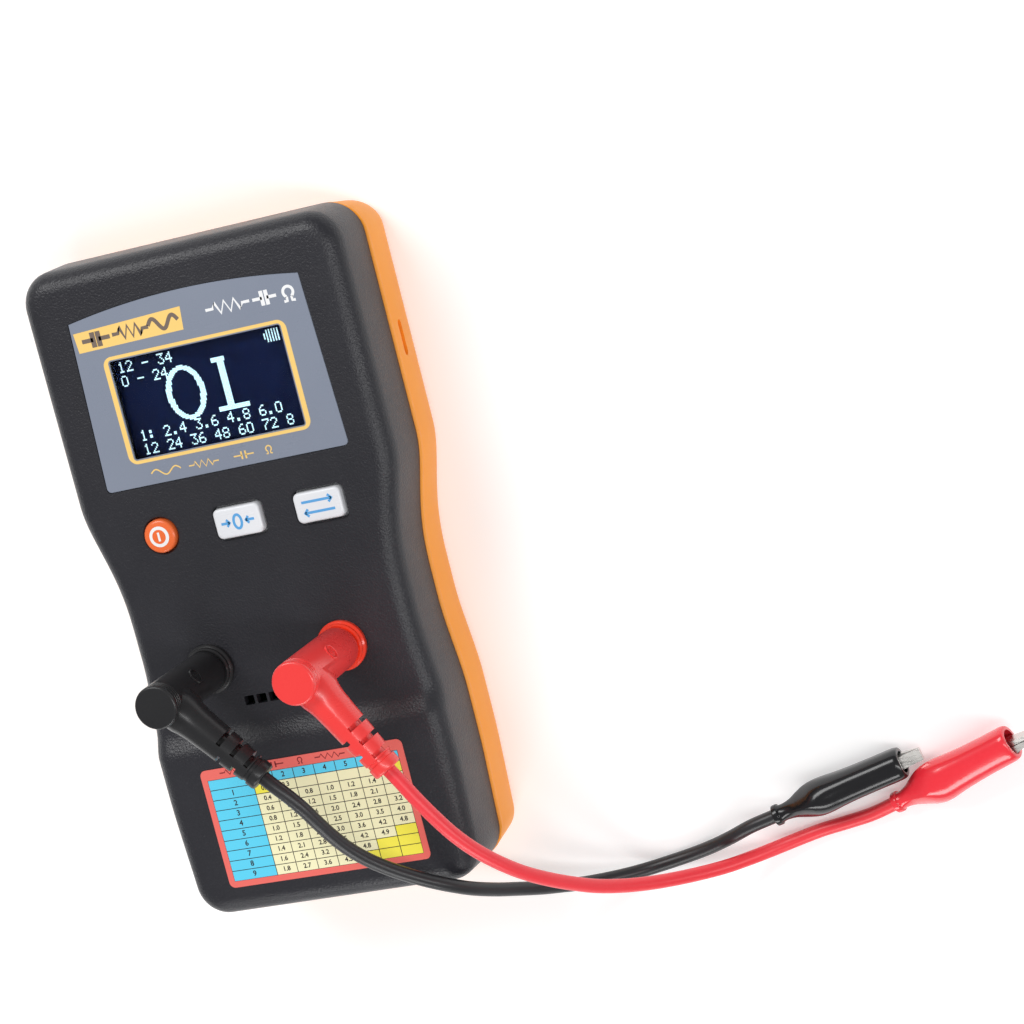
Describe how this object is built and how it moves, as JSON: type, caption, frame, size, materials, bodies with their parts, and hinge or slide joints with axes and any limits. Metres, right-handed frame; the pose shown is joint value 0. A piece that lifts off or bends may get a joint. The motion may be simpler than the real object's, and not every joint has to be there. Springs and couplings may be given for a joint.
{
  "type": "capacitor resistance meter",
  "caption": "Handheld meter for capacitor series resistance, with a backlit display, push buttons and plug-in test leads that end in spring clips.",
  "frame": {"origin": "middle of the case's footprint, on the flat back that the meter lies on", "axes": "+X to the right of the face, +Y towards the display end, +Z out of the face"},
  "size_m": [0.2416, 0.2042, 0.0755],
  "materials": {
    "black_plastic": "satin with a fine grain",
    "orange_plastic": "satin with a fine grain",
    "panel_film": "printed film",
    "clear_window": "clear",
    "display_glass": "dark",
    "backlight": "milky",
    "circuit_board": "solder mask",
    "component_black": "moulded",
    "film_red": "dipped",
    "can_sleeve": "shrink sleeve",
    "steel": "plated",
    "nickel": "nickel plated",
    "brass": "gold plated",
    "black_gloss": "gloss",
    "red_gloss": "gloss",
    "white_plastic": "satin",
    "power_red": "satin",
    "label_print": "printed film",
    "cell_wrap": "printed sleeve",
    "black_vinyl": "soft gloss",
    "red_vinyl": "soft gloss"
  },
  "bodies": {
    "case": {"front_shell": "black_plastic", "back_shell": "orange_plastic", "display_panel": "panel_film", "display_window": "clear_window", "lcd_frame": "steel", "lcd_glass": "display_glass", "lcd_backlight": "backlight", "lcd_board": "circuit_board", "lcd_header": "component_black", "main_board": "circuit_board", "controller_chip": "component_black", "analog_chips": "component_black", "film_capacitors": "film_red", "power_capacitors": "can_sleeve", "clock_crystal": "steel", "power_coil": "component_black", "small_resistors": "component_black", "key_switches": "component_black", "buzzer": "component_black", "black_socket": "black_gloss", "red_socket": "red_gloss", "black_sleeve": "brass", "red_sleeve": "brass", "socket_nuts": "component_black", "reference_label": "label_print", "battery_holder": "component_black", "left_cell": "cell_wrap", "right_cell": "cell_wrap", "battery_springs": "nickel", "battery_plates": "nickel", "case_screws": "steel", "board_screws": "steel"},
    "battery_door": {"battery_door": "orange_plastic"},
    "tilt_stand": {"tilt_stand": "black_plastic"},
    "power_button": {"power_button": "power_red", "power_plunger": "white_plastic"},
    "zero_button": {"zero_button": "white_plastic", "zero_plunger": "white_plastic"},
    "mode_button": {"mode_button": "white_plastic", "mode_plunger": "white_plastic"},
    "black_lead": {"black_plug": "black_gloss", "black_plug_pin": "brass", "black_cord": "black_vinyl", "black_boot": "black_vinyl", "black_fixed_jaw": "nickel", "black_jaw_pin": "steel", "black_jaw_spring": "steel"},
    "black_jaw": {"black_moving_jaw": "nickel"},
    "red_lead": {"red_plug": "red_gloss", "red_plug_pin": "brass", "red_cord": "red_vinyl", "red_boot": "red_vinyl", "red_fixed_jaw": "nickel", "red_jaw_pin": "steel", "red_jaw_spring": "steel"},
    "red_jaw": {"red_moving_jaw": "nickel"}
  },
  "joints": [
    {"name": "power_press", "type": "slide", "parent": "case", "child": "power_button", "axis": [0, 0, -1], "range_m": [0, 0.001], "stiffness_N_per_m": 400, "springref_m": -0.001},
    {"name": "zero_press", "type": "slide", "parent": "case", "child": "zero_button", "axis": [0, 0, -1], "range_m": [0, 0.001], "stiffness_N_per_m": 400, "springref_m": -0.001},
    {"name": "mode_press", "type": "slide", "parent": "case", "child": "mode_button", "axis": [0, 0, -1], "range_m": [0, 0.001], "stiffness_N_per_m": 400, "springref_m": -0.001},
    {"name": "door_slide", "type": "slide", "parent": "case", "child": "battery_door", "axis": [0, -1, 0], "range_m": [0, 0.062]},
    {"name": "stand_hinge", "type": "hinge", "parent": "case", "child": "tilt_stand", "pos_m": [0, 0.062, 0.0019], "axis": [1, 0, 0], "range_deg": [0, 38]},
    {"name": "black_unplug", "type": "slide", "parent": "case", "child": "black_lead", "axis": [0, 0, 1], "range_m": [0, 0.007]},
    {"name": "black_clip_open", "type": "hinge", "parent": "black_lead", "child": "black_jaw", "pos_m": [0.13739, -0.09247, 0.0062], "axis": [0.2419, -0.9703, 0], "range_deg": [0, 7], "stiffness_Nm_per_rad": 0.4, "springref_deg": -17.19},
    {"name": "red_unplug", "type": "slide", "parent": "case", "child": "red_lead", "axis": [0, 0, 1], "range_m": [0, 0.022]},
    {"name": "red_clip_open", "type": "hinge", "parent": "red_lead", "child": "red_jaw", "pos_m": [0.16925, -0.0929, 0.00677], "axis": [-0.0994, -0.2225, 0.9698], "range_deg": [0, 7], "stiffness_Nm_per_rad": 0.4, "springref_deg": -17.19}
  ]
}
